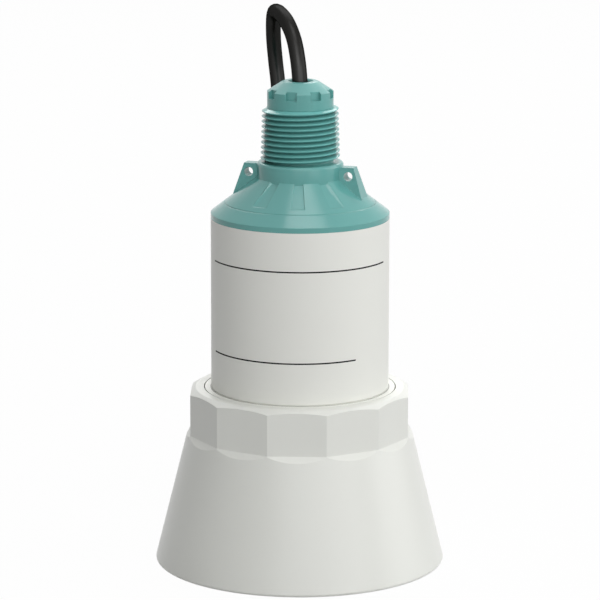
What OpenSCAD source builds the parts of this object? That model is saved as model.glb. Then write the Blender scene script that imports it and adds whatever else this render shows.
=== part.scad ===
// Compact radar level transmitter with a moulded head cap, a cable gland and a screwed-on hood.
// The part stands on the rim of its hood: origin at the rim's centre, +Z up, lugs along X.

/* [Hood] */
// Height of the shoulder where the cone meets the twelve-sided collar
hood_cone_h = 56.1; // [50:0.1:62]
// Half angle of the hood's cone
hood_flank_angle = 14; // [10:0.1:18]
// Wall of the hood's cone
hood_wall = 3.2; // [2:0.1:5]
// Radius on the hood's bottom edge
hood_rim_round = 1.2; // [0.4:0.1:1.5]
// Height of the collar above the shoulder
collar_h = 19.3; // [16:0.1:24]
// Wall between the collar's flats and its counterbore
collar_wall = 5.2; // [4.6:0.1:7]
// Number of flats milled on the collar
collar_sides = 12; // [12]
// Slope of the cut under each flat
collar_cut_slope = 45; // [30:1:60]
// Height of the turned chamfer on the collar's top edge
collar_chamfer_h = 2.0; // [1:0.1:3]
// Slope of that chamfer from the horizontal
collar_chamfer_slope = 30; // [20:1:45]

/* [Antenna base] */
// How far the flange that shows inside the collar reaches out past the housing
flange_reach = 2.75; // [2:0.05:3.5]
// Thickness of the flange
flange_t = 3.2; // [2.5:0.1:4]
// Thickness of the flat gasket under the flange
gasket_t = 1.6; // [1:0.1:2.5]
// Radial gap between the flange and the hood's counterbore
flange_gap = 0.4; // [0.2:0.05:0.6]
// Step in from the housing's radius to the shank that screws into the hood
shank_step = 1.45; // [1:0.05:2.5]
// Radial clearance of the screwed shank in the hood
shank_gap = 0.3; // [0.15:0.05:0.45]
// Length of the shank below the flange
shank_h = 20; // [16:0.5:22]
// Width of the shank's rim round the lens
lens_rim_w = 9.2; // [8:0.1:12]
// How far the lens bulges below its rim
lens_bulge = 7; // [4:0.5:9]

/* [Housing] */
// Outer radius of the housing tube
tube_r = 37.65; // [37:0.05:38.5]
// Wall of the housing tube
tube_wall = 3.05; // [2.5:0.05:4]
// Length of the housing tube
tube_h = 73; // [70:0.5:80]
// Bevel round the tube's foot, which leaves a dark joint on the flange
tube_foot_bevel = 0.5; // [0.2:0.1:0.8]
// Radial clearance of the spigots in the housing tube
spigot_gap = 0.15; // [0.1:0.05:0.3]
// Length of each spigot
spigot_h = 8; // [7:0.5:10]
// Diameter of the section of the two O-rings
oring_d = 2; // [1.5:0.1:2.5]

/* [Head cap] */
// How far the cap's rim stands out past the tube
rim_overhang = 0; // [0:0.05:0.5]
// Height of the cap's rim band
rim_h = 2.2; // [1.5:0.1:3]
// Height of the cap's cone
cap_cone_h = 15; // [13:0.1:17]
// Wall of the cap's cone
cap_wall = 3; // [2.5:0.1:4]
// Radius of the hub below the thread
hub_r = 18.2; // [17.5:0.05:19]
// Height of the hub
hub_h = 6.7; // [5.5:0.1:8]
// Radius that the hub's top edge is rounded to
hub_round = 1.3; // [0.5:0.1:1.4]
// Radius of the fine turned line on the cone
line_r = 31.85; // [31:0.05:33]
// Number of recessed pockets between two lugs
pocket_count = 3; // [2:1:4]
// Angle from one pocket to the next
pocket_pitch = 32.6; // [30:0.2:34]
// Angle by which a side's middle pocket stands off the middle between the lugs
pocket_lean = 14.5; // [0:0.5:18]
// Angle that each pocket spans
pocket_angle = 11.5; // [8:0.5:14]
// Depth of the pockets
pocket_depth = 0.95; // [0.5:0.05:1.3]
// Radius where the pockets end
pocket_end_r = 29.5; // [27:0.5:30.5]

/* [Lugs] */
// Reach of each lug at its top
lug_top_reach = 23.9; // [23.5:0.1:26]
// Reach of each lug at its foot
lug_foot_reach = 28.1; // [27:0.1:30]
// How far the lugs' top lies under the hub's top
lug_drop = 1.5; // [0.5:0.1:2]
// Thickness of each lug at its top
lug_top_t = 4.9; // [4:0.1:6]
// Thickness of each lug at its foot
lug_foot_t = 9.6; // [7:0.1:10]
// Diameter of each lug's hole
lug_hole_d = 3.8; // [3:0.1:4.4]
// Distance of each lug's hole from the axis
lug_hole_x = 21.7; // [21.4:0.1:22]
// How far each lug's hole lies under the lug's top
lug_hole_drop = 3.65; // [3.4:0.05:4.2]

/* [Pipe thread] */
// Pitch of the tapered pipe thread
thread_pitch = 2.2; // [2:0.05:2.5]
// Number of turns of the thread
thread_turns = 9.8; // [7:0.1:10]
// Crest radius at the small, upper end
thread_crest_r = 16.05; // [15.8:0.05:16.4]
// Depth of the thread
thread_depth = 1.75; // [1.2:0.05:1.9]
// Gain in radius for each millimetre down the thread
thread_taper = 0.03125; // [0:0.00625:0.0625]
// Length of the plain neck under the thread
neck_h = 0.1; // [0.1:0.05:1]
// Length over which the thread runs off at the top
thread_lead_h = 0.9; // [0.6:0.1:1.5]

/* [Gland] */
// Radius of the gland nut
nut_r = 13.9; // [13.2:0.1:14.2]
// Height of the gland nut's straight side
nut_side_h = 6.85; // [5:0.05:8]
// Height of the gland nut's cone
nut_cone_h = 4.25; // [3:0.05:5]
// Number of notches round the gland nut
notch_count = 8; // [6:1:8]
// Angle that each notch spans
notch_angle = 20; // [14:1:22]
// Depth of each notch
notch_depth = 1.5; // [1:0.05:2.2]
// Height of the notches' floor above the nut's foot
notch_floor_h = 4.2; // [3:0.1:5]
// Radius of the nut's bore
nut_bore_r = 4.7; // [4.2:0.1:5]
// Radius of the gland's bore in the cap
gland_bore_r = 10; // [9.5:0.1:10.5]
// Radial clearance of the nut's shank in that bore
gland_gap = 0.3; // [0.15:0.05:0.4]
// Length of the nut's shank
nut_shank_h = 7.3; // [6:0.1:8]
// Thickness of the slip ring under the nut's shank
slip_ring_t = 1.8; // [1.2:0.1:2.2]
// Height of the rubber seal
seal_h = 7.6; // [7:0.1:9]

/* [Electronics] */
// Thickness of the boards
board_t = 1.6; // [1.2:0.1:2]
// Height of the board pillars
pillar_h = 23; // [21:0.5:26]
// Distance of the pillars from the wall of the antenna base
pillar_inset = 6.45; // [5:0.05:9]
// Gap between the upright board's edges and the housing's wall
main_board_gap = 2.2; // [2:0.1:5]
// Height of the upright board
main_board_h = 50; // [44:0.5:52]
// Offset of the upright board from the axis
main_board_y = 5; // [2:0.5:8]

/* [Cord] */
// Diameter of the cable's jacket
cable_d = 6.5; // [6.5]
// Columns of turns in the coil
coil_columns = 4; // [4]
// Full layers of turns in the coil
coil_layers = 5; // [5]
// Radius at the middle of the coil's turns
coil_mid_r = 35.75; // [35.75]
// Width of each cable tie
tie_w = 3.6; // [2.5:0.1:5]
// Thickness of each cable tie
tie_t = 1.2; // [1:0.1:1.2]
// Diameter of each core of the cable
core_d = 1.8; // [1.4:0.1:2]

/* [Hidden] */
$fn = 96;
eps = 0.05;
collar_step = 360 / collar_sides;

// Heights, from the hood's rim up
collar_top_z = hood_cone_h + collar_h;
flange_bottom_z = collar_top_z - flange_t;
gasket_bottom_z = flange_bottom_z - gasket_t;
shank_bottom_z = flange_bottom_z - shank_h;
tube_bottom_z = collar_top_z;
tube_top_z = tube_bottom_z + tube_h;
cone_foot_z = tube_top_z + rim_h;
hub_foot_z = cone_foot_z + cap_cone_h;
hub_top_z = hub_foot_z + hub_h;
thread_foot_z = hub_top_z + neck_h;
thread_h = (thread_turns + 0.16) * thread_pitch;
lead_foot_z = thread_foot_z + thread_h;
stub_top_z = lead_foot_z + thread_lead_h;
seal_bottom_z = stub_top_z - nut_shank_h - slip_ring_t - seal_h;
slip_ring_z = seal_bottom_z + seal_h;
shank_end_z = slip_ring_z + slip_ring_t;
nut_side_z = stub_top_z + nut_side_h;
nut_top_z = nut_side_z + nut_cone_h;

// Radii
shank_r = tube_r - shank_step;
flange_r = tube_r + flange_reach;
counterbore_r = flange_r + flange_gap;
lens_opening_r = shank_r - lens_rim_w;
collar_apothem = counterbore_r + collar_wall;
collar_corner_r = collar_apothem / cos(collar_step / 2);
flank_slope = tan(hood_flank_angle);
flank_top_r = collar_corner_r + 0.2;
rim_base_r = flank_top_r + hood_cone_h * flank_slope;
rim_inner_r = rim_base_r - hood_wall / cos(hood_flank_angle);
hood_bore_r = shank_r + shank_gap;
tube_inner_r = tube_r - tube_wall;
spigot_r = tube_inner_r - spigot_gap;
base_bore_r = spigot_r - 3;
pillar_r = base_bore_r - pillar_inset;
main_board_w = 2 * (sqrt(tube_inner_r ^ 2 - main_board_y ^ 2) - main_board_gap);
cap_rim_r = tube_r + rim_overhang;
cone_slope = cap_cone_h / (cap_rim_r - hub_r);
neck_r = thread_crest_r - thread_depth - 0.2;
cable_r = cable_d / 2;

// The hood's ceiling, where the collar's bore opens into the cone
ceiling_z = shank_bottom_z - 2;
function flank_r(z) = flank_top_r + (hood_cone_h - z) * flank_slope;
function flank_inner_r(z) = flank_r(z) - hood_wall / cos(hood_flank_angle);
function cone_z(r) = hub_foot_z - (r - hub_r) * cone_slope;
function crest_r(z) = thread_crest_r + (lead_foot_z - z) * thread_taper;

// Lens and boards
lens_seat_z = shank_bottom_z + 3;
lens_flange_t = 2.5;
lens_top_z = lens_seat_z + lens_flange_t;
lens_flange_r = base_bore_r - 0.1;
lens_gap = 0.1;
radar_board_z = lens_top_z + pillar_h;
radar_board_r = base_bore_r - 0.8;
chip_w = 9;
chip_t = 1.5;
horn_h = pillar_h - chip_t;
header_w = 28;
header_d = 6;
header_h = 4;
main_board_z = radar_board_z + board_t + header_h;
main_board_top_z = main_board_z + main_board_h;
board_face_y = main_board_y - board_t;
screw_r = 1.5;
screw_head_r = 2.75;
screw_head_h = 2;
screw_key_r = 1.3;
screw_reach = 6;
processor_w = 12;
processor_t = 1.5;
processor_inset = 12;
can_r = 4;
can_h = 11;
can_insets = [10, 22];
choke_r = 8;
choke_h = 7;
choke_inset = 12;
part_lift = 8;
horn_mouth_r = 13;
horn_throat_r = 3.4;
horn_wall = 1.2;
pillar_outer_r = 3;
terminal_w = 16;
terminal_d = 8;
terminal_h = 9;
terminal_z = main_board_top_z - 2 - terminal_h;
rib_w = 1.6;
rib_reach = main_board_w / 2 - 1.5;
rib_play = 0.1;

// Gland interior
jacket_end_z = 177;
throat_r = 5.5;
core_offset = 1.2;
core_bend_h = 8;

// Coil of the spare cable, lying behind the hood on its two ties
coil_pos = [-31.5, 107];
coil_turn_half = coil_columns * cable_d / 2;
coil_inner_r = coil_mid_r - coil_turn_half;
coil_outer_r = coil_mid_r + coil_turn_half;
coil_foot_z = tie_t;
coil_step_z = coil_foot_z + coil_layers * cable_d;
coil_top_z = coil_step_z + cable_d;
tie_angles = [61.5, 241.5];
tie_head_h = 4;

// The free stretch of the cable: up out of the gland, over in one loop, down behind the
// housing and onto the outer turn of the coil
cable_route = [
    [0, 0, 177], [0, 0, 186], [0, 0, 196], [-0.2, -0.2, 206.5],
    [-1.7, 1.6, 215.4], [-4.6, 5.7, 222.9], [-9, 11.4, 228.5], [-14.1, 18.4, 231.4],
    [-18.8, 26.4, 231.5], [-22.1, 34.7, 228.8], [-24.6, 41.9, 223.3], [-26, 47.2, 215.5],
    [-26, 50, 206.2], [-24.8, 50, 195.1], [-24, 48.5, 182], [-24.5, 48.5, 166],
    [-26, 48, 150], [-28.5, 47.5, 134], [-31.5, 46.5, 118], [-34.5, 45.5, 102],
    [-36.5, 45, 86], [-37.5, 44.5, 74], [-37.5, 44.5, 63.5], [-36.5, 45.5, 54.5],
    [-33.5, 48, 47.5], [-28.5, 51.5, 41.5], [-23, 56, 38], [-17, 61, 37],
    [-11, 65.5, 37], [-4.5, 70, 37], [1, 74, 37], [5, 79, 37]
];

// The cable's last stretch, in the gap over the inner column of turns, its end cap, and
// its two cores with their ferrules. Angles are counted from +X round the coil
function coil_point(r, angle, z) =
    [coil_pos[0] + r * cos(angle), coil_pos[1] + r * sin(angle), z];
function coil_way(angle) = [-sin(angle), cos(angle), 0];
tail_r = coil_inner_r + cable_r;
tail_z = coil_step_z + cable_r;
tail_angles = [305, 317];
tail_way = tail_angles[1] + 12;
tail_end = coil_point(tail_r, tail_angles[1], tail_z) + 2 * coil_way(tail_way);
end_cap_h = 9;
lead_z = coil_step_z + core_d / 2 + 0.1;
lead_gap = 0.1;
lead_angles = [351, 359, 367, 374];
lead_inner_r = tail_r + 0.4;
ferrule_r = 1.3;
ferrule_h = 6;
ferrule_pin_r = 0.6;
ferrule_pin_h = 6;
ferrule_inner_r = tail_r - 1;
ferrule_angle = 380;
ferrule_way = ferrule_angle + 13;
ferrule_run = 1.5;

// ---- shared shapes ----

// A ring turned from a list of [radius, height] points
module turned(points) {
    rotate_extrude() polygon(points);
}

module ring(outer, inner, z, h) {
    translate([0, 0, z]) difference() {
        cylinder(r = outer, h = h);
        translate([0, 0, -eps]) cylinder(r = inner, h = h + 2 * eps);
    }
}

module o_ring(r, z) {
    rotate_extrude() translate([r, z]) circle(d = oring_d, $fn = 32);
}

function unit(v) = v / norm(v);
function tangent(p, i) =
    i == 0 ? unit(p[1] - p[0]) :
    i == len(p) - 1 ? unit(p[i] - p[i - 1]) :
    unit(unit(p[i + 1] - p[i]) + unit(p[i] - p[i - 1]));
function square_to(v, t) = unit(v - (v * t) * t);
function side_at(p, i) =
    i == 0 ? square_to([1, 0.01, 0.02], tangent(p, 0)) :
    square_to(side_at(p, i - 1), tangent(p, i));

// A round tube swept along a list of points, as one polyhedron
module swept(p, r, sides) {
    rings = len(p);
    points = [
        for (i = [0 : rings - 1])
        let (t = tangent(p, i), u = side_at(p, i), v = cross(t, u))
        for (k = [0 : sides - 1])
        let (a = 360 * k / sides)
        p[i] + r * (cos(a) * u + sin(a) * v)
    ];
    walls = [
        for (i = [0 : rings - 2])
        for (k = [0 : sides - 1])
        let (n = (k + 1) % sides)
        [i * sides + n, i * sides + k, (i + 1) * sides + k, (i + 1) * sides + n]
    ];
    polyhedron(
        points = points,
        faces = concat(
            walls,
            [[for (k = [0 : sides - 1]) k]],
            [[for (k = [sides - 1 : -1 : 0]) (rings - 1) * sides + k]]
        ),
        convexity = 10
    );
}

// ---- hood ----

// Blank of the hood as it is turned, before its flats are cut
module hood_blank() {
    chamfer_w = collar_chamfer_h / tan(collar_chamfer_slope);
    round_y = hood_rim_round;
    turned([
        [rim_inner_r, 0],
        [rim_base_r - round_y * (1 + flank_slope), 0],
        for (a = [-75 : 15 : 0])
            [rim_base_r - round_y * (1 + flank_slope) + round_y * cos(a), round_y + round_y * sin(a)],
        [flank_r(hood_cone_h), hood_cone_h],
        [flank_top_r, collar_top_z - collar_chamfer_h],
        [flank_top_r - chamfer_w, collar_top_z],
        [counterbore_r, collar_top_z],
        [counterbore_r, gasket_bottom_z],
        [hood_bore_r, gasket_bottom_z],
        [hood_bore_r, ceiling_z],
        [flank_inner_r(ceiling_z - 3) - 3, ceiling_z],
        [flank_inner_r(ceiling_z - 3), ceiling_z - 3]
    ]);
}

// What is milled away for one flat: the flat itself and the sloping cut under it
module flat_cut() {
    reach = 20;
    rise = collar_h + 5;
    width = 2 * collar_corner_r * sin(collar_step / 2) + 12;
    translate([0, width / 2, 0])
    rotate([90, 0, 0])
    linear_extrude(width)
    polygon([
        [collar_apothem, hood_cone_h],
        [collar_apothem + reach, hood_cone_h - reach * tan(collar_cut_slope)],
        [collar_apothem + reach, hood_cone_h + rise],
        [collar_apothem, hood_cone_h + rise]
    ]);
}

module hood() {
    color([0.88, 0.89, 0.86])
    difference() {
        hood_blank();
        for (i = [0 : collar_sides - 1])
            rotate([0, 0, (i + 0.5) * collar_step]) flat_cut();
    }
}

module hood_gasket() {
    color([0.12, 0.12, 0.12])
    ring(counterbore_r - 0.3, hood_bore_r + 0.2, gasket_bottom_z, gasket_t);
}

// ---- antenna base ----

module antenna_base() {
    groove_z = tube_bottom_z + spigot_h / 2;
    color([0.86, 0.87, 0.84])
    difference() {
        turned([
            [lens_opening_r + lens_gap, shank_bottom_z],
            [shank_r - 1, shank_bottom_z],
            [shank_r, shank_bottom_z + 1],
            [shank_r, flange_bottom_z],
            [flange_r, flange_bottom_z],
            [flange_r, collar_top_z],
            [spigot_r, collar_top_z],
            [spigot_r, collar_top_z + spigot_h],
            [base_bore_r, collar_top_z + spigot_h],
            [base_bore_r, lens_seat_z],
            [lens_opening_r + lens_gap, lens_seat_z]
        ]);
        o_ring_groove(groove_z);
    }
}

module o_ring_groove(z) {
    ring(spigot_r + 1, tube_inner_r - oring_d - 0.05, z - oring_d / 2 - 0.1, oring_d + 0.2);
}

module lens() {
    cap_r = (lens_opening_r ^ 2 + lens_bulge ^ 2) / (2 * lens_bulge);
    bulge_z = shank_bottom_z - 1;
    arc = asin(lens_opening_r / cap_r);
    color([0.92, 0.92, 0.9])
    turned([
        [0, lens_top_z],
        [lens_flange_r, lens_top_z],
        [lens_flange_r, lens_seat_z],
        [lens_opening_r, lens_seat_z],
        for (a = [arc : -arc / 12 : arc / 24])
            [cap_r * sin(a), bulge_z + cap_r * (cos(arc) - cos(a))],
        [0, bulge_z - lens_bulge]
    ]);
}

module base_o_ring() {
    color([0.1, 0.1, 0.1])
    o_ring(tube_inner_r - oring_d / 2, tube_bottom_z + spigot_h / 2);
}

// ---- electronics ----

module feed_horn() {
    color([0.75, 0.7, 0.5])
    translate([0, 0, lens_top_z])
    turned([
        [horn_mouth_r, 0],
        [horn_mouth_r + horn_wall, 0],
        [horn_throat_r + horn_wall, horn_h * 0.75],
        [horn_throat_r + horn_wall, horn_h],
        [horn_throat_r, horn_h],
        [horn_throat_r, horn_h * 0.75]
    ]);
}

module at_pillars() {
    for (a = [90, 210, 330])
        rotate([0, 0, a]) translate([pillar_r, 0, 0]) children();
}

module radar_board() {
    color([0.05, 0.35, 0.2])
    difference() {
        translate([0, 0, radar_board_z]) cylinder(r = radar_board_r, h = board_t);
        at_pillars() translate([0, 0, radar_board_z - eps])
            cylinder(r = screw_r + 0.2, h = board_t + 2 * eps, $fn = 32);
    }
}

module radar_chip() {
    color([0.15, 0.15, 0.16])
    translate([-chip_w / 2, -chip_w / 2, radar_board_z - chip_t]) cube([chip_w, chip_w, chip_t]);
}

module board_pillars() {
    color([0.8, 0.65, 0.3])
    at_pillars() translate([0, 0, lens_top_z]) difference() {
        cylinder(r = pillar_outer_r, h = pillar_h, $fn = 6);
        translate([0, 0, pillar_h - screw_reach - 1])
            cylinder(r = screw_r + 0.1, h = screw_reach + 1 + eps, $fn = 32);
    }
}

module board_screws() {
    color([0.7, 0.7, 0.72])
    at_pillars() translate([0, 0, radar_board_z + board_t]) {
        difference() {
            cylinder(r = screw_head_r, h = screw_head_h, $fn = 32);
            translate([0, 0, screw_head_h / 2])
                cylinder(r = screw_key_r, h = screw_head_h / 2 + eps, $fn = 6);
        }
        translate([0, 0, -board_t - screw_reach])
            cylinder(r = screw_r, h = board_t + screw_reach, $fn = 32);
    }
}

module board_header() {
    color([0.12, 0.12, 0.13])
    translate([-header_w / 2, board_face_y - header_d / 2, radar_board_z + board_t])
        cube([header_w, header_d, header_h]);
}

module main_board() {
    color([0.05, 0.35, 0.2])
    translate([-main_board_w / 2, board_face_y, main_board_z])
        cube([main_board_w, board_t, main_board_h]);
}

module processor() {
    x = main_board_w / 2 - processor_inset - processor_w;
    color([0.13, 0.13, 0.14])
    translate([x, board_face_y - processor_t, main_board_z + part_lift])
        cube([processor_w, processor_t, processor_w]);
}

module capacitors() {
    color([0.2, 0.22, 0.35])
    for (inset = can_insets)
        translate([inset - main_board_w / 2, board_face_y, main_board_z + part_lift + can_r])
            rotate([90, 0, 0]) cylinder(r = can_r, h = can_h);
}

module supply_choke() {
    x = choke_inset - main_board_w / 2;
    color([0.25, 0.25, 0.25])
    translate([x, main_board_y, main_board_z + part_lift + choke_r]) rotate([-90, 0, 0])
        difference() {
            cylinder(r = choke_r, h = choke_h);
            translate([0, 0, 2]) cylinder(r = 3, h = choke_h);
        }
}

// Two-pole block that the cable's cores are clamped in from above
module terminal_block() {
    color([0.1, 0.4, 0.25])
    translate([-terminal_w / 2, board_face_y - terminal_d, terminal_z]) difference() {
        cube([terminal_w, terminal_d, terminal_h]);
        for (x = [terminal_w / 4, 3 * terminal_w / 4]) {
            translate([x, terminal_d / 2, terminal_h - 5]) cylinder(d = core_d + 0.1, h = 6, $fn = 24);
            translate([x, 0.9, terminal_h / 2 - 1]) rotate([90, 0, 0]) cylinder(r = 1.8, h = 1, $fn = 24);
        }
    }
}

// One core, from the end of the jacket down into the terminal block
module core(side) {
    x = side * terminal_w / 4;
    y = board_face_y - terminal_d / 2;
    swept([
        [side * core_offset, 0, jacket_end_z],
        [side * core_offset, 0, jacket_end_z - 6],
        [side * core_offset, 0, jacket_end_z - 12],
        [side * (core_offset + 1), y * 0.5, jacket_end_z - 22],
        [x, y, jacket_end_z - 30],
        [x, y, terminal_z + terminal_h],
        [x, y, terminal_z + terminal_h - 4]
    ], core_d / 2, 8);
}

module core_brown() {
    color([0.35, 0.18, 0.08]) core(-1);
}

module core_blue() {
    color([0.1, 0.25, 0.6]) core(1);
}

// ---- housing ----

// Pairs of ribs inside the tube that hold the upright board by its edges
module board_ribs() {
    rib_z = main_board_z;
    rib_h = main_board_h - 2;
    for (side = [-1, 1])
        for (y = [board_face_y - rib_w - rib_play, main_board_y + rib_play])
            translate([side > 0 ? rib_reach : -tube_inner_r - 0.5, y, rib_z])
                cube([tube_inner_r + 0.5 - rib_reach, rib_w, rib_h]);
}

module housing() {
    color([0.88, 0.89, 0.86])
    union() {
        turned([
            [tube_inner_r, tube_bottom_z],
            [tube_r - tube_foot_bevel, tube_bottom_z],
            [tube_r, tube_bottom_z + tube_foot_bevel],
            [tube_r, tube_bottom_z + tube_h],
            [tube_inner_r, tube_bottom_z + tube_h]
        ]);
        intersection() {
            board_ribs();
            translate([0, 0, tube_bottom_z]) cylinder(r = tube_r - 1, h = tube_h);
        }
    }
}

// ---- head cap ----

module cap_body() {
    groove_z = tube_top_z - spigot_h / 2;
    throat_z = seal_bottom_z - 4;
    inner_hub_r = hub_r - 5;
    difference() {
        turned([
            [base_bore_r, tube_top_z - spigot_h],
            [spigot_r, tube_top_z - spigot_h],
            [spigot_r, tube_top_z],
            [cap_rim_r, tube_top_z],
            [cap_rim_r, cone_foot_z],
            [line_r + 0.2, cone_z(line_r + 0.2)],
            [line_r, cone_z(line_r) - 0.35],
            [line_r - 0.2, cone_z(line_r - 0.2)],
            [hub_r, hub_foot_z],
            for (a = [0 : 18 : 90]) [
                hub_r - hub_round + hub_round * cos(a),
                hub_top_z - hub_round + hub_round * sin(a)
            ],
            [neck_r + 0.4, hub_top_z],
            [neck_r, hub_top_z + 0.4],
            [neck_r, stub_top_z],
            [gland_bore_r, stub_top_z],
            [gland_bore_r, seal_bottom_z],
            [throat_r, seal_bottom_z],
            [throat_r, throat_z],
            [inner_hub_r, throat_z - 3],
            [inner_hub_r, hub_foot_z - cap_wall],
            [base_bore_r, cone_foot_z - cap_wall]
        ]);
        o_ring_groove(groove_z);
    }
}

// One turned pocket in the cone, open towards the hub
module pocket() {
    rise = 6;
    rotate([0, 0, -pocket_angle / 2])
    rotate_extrude(angle = pocket_angle)
    polygon([
        [hub_r, hub_foot_z - pocket_depth],
        [pocket_end_r, cone_z(pocket_end_r) - pocket_depth],
        [pocket_end_r, cone_z(pocket_end_r) + rise],
        [hub_r, hub_foot_z + rise]
    ]);
}

module pockets() {
    for (front = [-90, 90])
        for (i = [0 : pocket_count - 1])
            rotate([0, 0, front + pocket_lean + (i - (pocket_count - 1) / 2) * pocket_pitch])
                pocket();
}

// Lug with a drafted thickness, its foot sunk into the cone
module lug() {
    top_z = hub_top_z - lug_drop;
    sink = 0.6;
    root_r = hub_r - 1.5;
    foot_z = cone_z(lug_foot_reach) - sink;
    intersection() {
        translate([0, lug_foot_t, 0]) rotate([90, 0, 0]) linear_extrude(2 * lug_foot_t) polygon([
            [root_r, top_z],
            [lug_top_reach, top_z],
            [lug_foot_reach + sink / 3, foot_z],
            [root_r, cone_z(root_r) - sink]
        ]);
        rotate([90, 0, 90]) linear_extrude(lug_foot_reach + 2) polygon([
            [-lug_top_t / 2, top_z + 1],
            [lug_top_t / 2, top_z + 1],
            [lug_foot_t / 2, foot_z - 1],
            [-lug_foot_t / 2, foot_z - 1]
        ]);
    }
}

module lug_hole() {
    translate([lug_hole_x, lug_foot_t, hub_top_z - lug_drop - lug_hole_drop])
        rotate([90, 0, 0]) cylinder(d = lug_hole_d, h = 2 * lug_foot_t);
}

// The tapered thread as one helical sleeve: its turns share their root edges, it fades
// out at both ends, and its inner wall lies inside the stub
module thread_sleeve() {
    steps = 36;
    last = round(thread_turns * steps);
    half = thread_pitch / 2;
    tip = thread_pitch * 0.06;
    fade = steps / 6;
    sleeve_r = neck_r - 1.5;
    thread_start = 145;
    function turn_z(i) = thread_foot_z + half + thread_pitch * i / steps;
    function root_r(i) = crest_r(turn_z(i) - half) - thread_depth;
    function tip_r(i) = root_r(i) + thread_depth * min(1, (i + 1) / fade, (last - i + 1) / fade);
    function at(r, i, z) = let (a = thread_start + 360 * i / steps) [r * cos(a), r * sin(a), z];
    roots = [for (i = [0 : last + steps]) at(root_r(i), i, turn_z(i) - half)];
    lows = [for (i = [0 : last]) at(tip_r(i), i, turn_z(i) - tip)];
    highs = [for (i = [0 : last]) at(tip_r(i), i, turn_z(i) + tip)];
    inners = [for (i = [0 : last + steps]) at(sleeve_r, i, turn_z(i) - half)];
    low = len(roots);
    high = low + len(lows);
    inner = high + len(highs);
    function quad(a, b, c, d) = [[a, b, c], [a, c, d]];
    polyhedron(
        points = concat(roots, lows, highs, inners),
        faces = [
            for (i = [0 : last - 1]) each concat(
                quad(i + 1, i, low + i, low + i + 1),
                quad(low + i + 1, low + i, high + i, high + i + 1),
                quad(high + i + 1, high + i, i + steps, i + steps + 1),
                quad(inner + i, inner + i + 1, inner + i + 1 + steps, inner + i + steps)
            ),
            for (i = [0 : steps - 1]) each quad(i, i + 1, inner + i + 1, inner + i),
            for (i = [last : last + steps - 1]) each quad(i + 1, i, inner + i, inner + i + 1),
            [0, inner, inner + steps, steps, high, low],
            [last, low + last, high + last, last + steps, inner + last + steps, inner + last]
        ],
        convexity = 20
    );
}

module head_cap() {
    color([0.37, 0.63, 0.6])
    difference() {
        union() {
            cap_body();
            intersection() {
                thread_sleeve();
                translate([0, 0, hub_top_z]) cylinder(r = hub_r, h = stub_top_z - 0.05 - hub_top_z);
            }
            for (side = [0, 180]) rotate([0, 0, side]) lug();
        }
        pockets();
        for (side = [0, 180]) rotate([0, 0, side]) lug_hole();
    }
}

module cap_o_ring() {
    color([0.1, 0.1, 0.1])
    o_ring(tube_inner_r - oring_d / 2, tube_top_z - spigot_h / 2);
}

// ---- gland ----

module cable_seal() {
    color([0.15, 0.15, 0.15])
    ring(gland_bore_r - 0.1, cable_r, seal_bottom_z, seal_h);
}

module slip_ring() {
    color([0.85, 0.85, 0.8])
    ring(gland_bore_r - gland_gap, nut_bore_r, slip_ring_z, slip_ring_t);
}

module gland_nut() {
    cone_top_r = 7.7;
    mouth_r = nut_bore_r + 0.7;
    color([0.37, 0.63, 0.6])
    difference() {
        turned([
            [nut_bore_r, shank_end_z],
            [gland_bore_r - gland_gap, shank_end_z],
            [gland_bore_r - gland_gap, stub_top_z],
            [nut_r, stub_top_z],
            [nut_r, nut_side_z],
            [cone_top_r, nut_top_z - 0.25],
            [cone_top_r - 0.7, nut_top_z],
            [mouth_r, nut_top_z],
            [nut_bore_r, nut_top_z - 0.7]
        ]);
        for (i = [0 : notch_count - 1])
            rotate([0, 0, -90 + i * 360 / notch_count - notch_angle / 2])
            rotate_extrude(angle = notch_angle)
            polygon([
                [nut_r - notch_depth, stub_top_z + notch_floor_h],
                [nut_r + 1, stub_top_z + notch_floor_h],
                [nut_r + 1, nut_top_z + 1],
                [nut_r - notch_depth, nut_top_z + 1]
            ]);
    }
}

// ---- cord ----

module cable() {
    color([0.06, 0.06, 0.06])
    swept(cable_route, cable_r, 12);
}

// Outer shape of the coiled cable: four columns of turns, the middle two one turn higher
module cable_coil() {
    soft = 1.4;
    color([0.06, 0.06, 0.06])
    translate([coil_pos[0], coil_pos[1], 0])
    turned([
        [coil_inner_r + soft, coil_foot_z],
        [coil_outer_r - soft, coil_foot_z],
        [coil_outer_r, coil_foot_z + soft],
        [coil_outer_r, coil_step_z - soft],
        [coil_outer_r - soft, coil_step_z],
        [coil_outer_r - cable_d, coil_step_z],
        [coil_outer_r - cable_d, coil_top_z - soft],
        [coil_outer_r - cable_d - soft, coil_top_z],
        [coil_inner_r + cable_d + soft, coil_top_z],
        [coil_inner_r + cable_d, coil_top_z - soft],
        [coil_inner_r + cable_d, coil_step_z],
        [coil_inner_r + soft, coil_step_z],
        [coil_inner_r, coil_step_z - soft],
        [coil_inner_r, coil_foot_z + soft]
    ]);
}

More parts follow.
